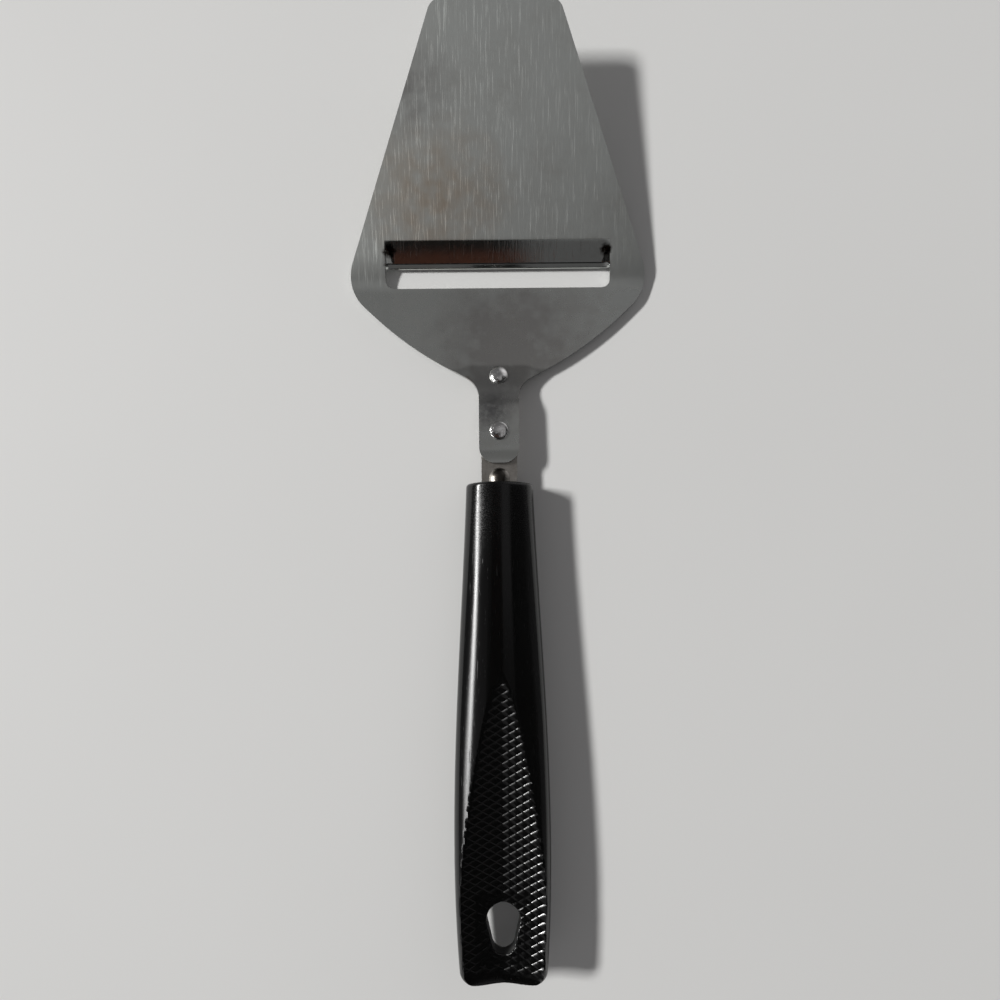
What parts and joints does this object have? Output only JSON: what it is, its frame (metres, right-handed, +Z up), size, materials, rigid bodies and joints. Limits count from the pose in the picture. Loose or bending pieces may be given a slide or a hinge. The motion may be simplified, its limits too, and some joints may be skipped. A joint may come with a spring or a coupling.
{
  "type": "cheese slicer",
  "caption": "Plane-type cheese slicer: tapered steel blade with a slot and pressed cutting lip, riveted to a tang in a moulded handle with a checkered grip and hanging hole.",
  "frame": {"origin": "middle of the whole length and width, on the surface that the slicer lies on", "axes": "+Y along the slicer to the tip of the blade, +Z up, +X to the right seen from above with the tip ahead"},
  "size_m": [0.0688, 0.2184, 0.0159],
  "materials": {
    "blade_steel": "stainless sheet with fine lengthwise scratches",
    "tang_steel": "rougher stamped strip with dull mottling",
    "rivet_metal": "bright set rivet heads",
    "handle_plastic": "glossy black moulding with fine scratches"
  },
  "bodies": {
    "root": {"blade": "blade_steel", "tang": "tang_steel", "rivet_front": "rivet_metal", "rivet_rear": "rivet_metal", "handle": "handle_plastic"}
  },
  "joints": []
}
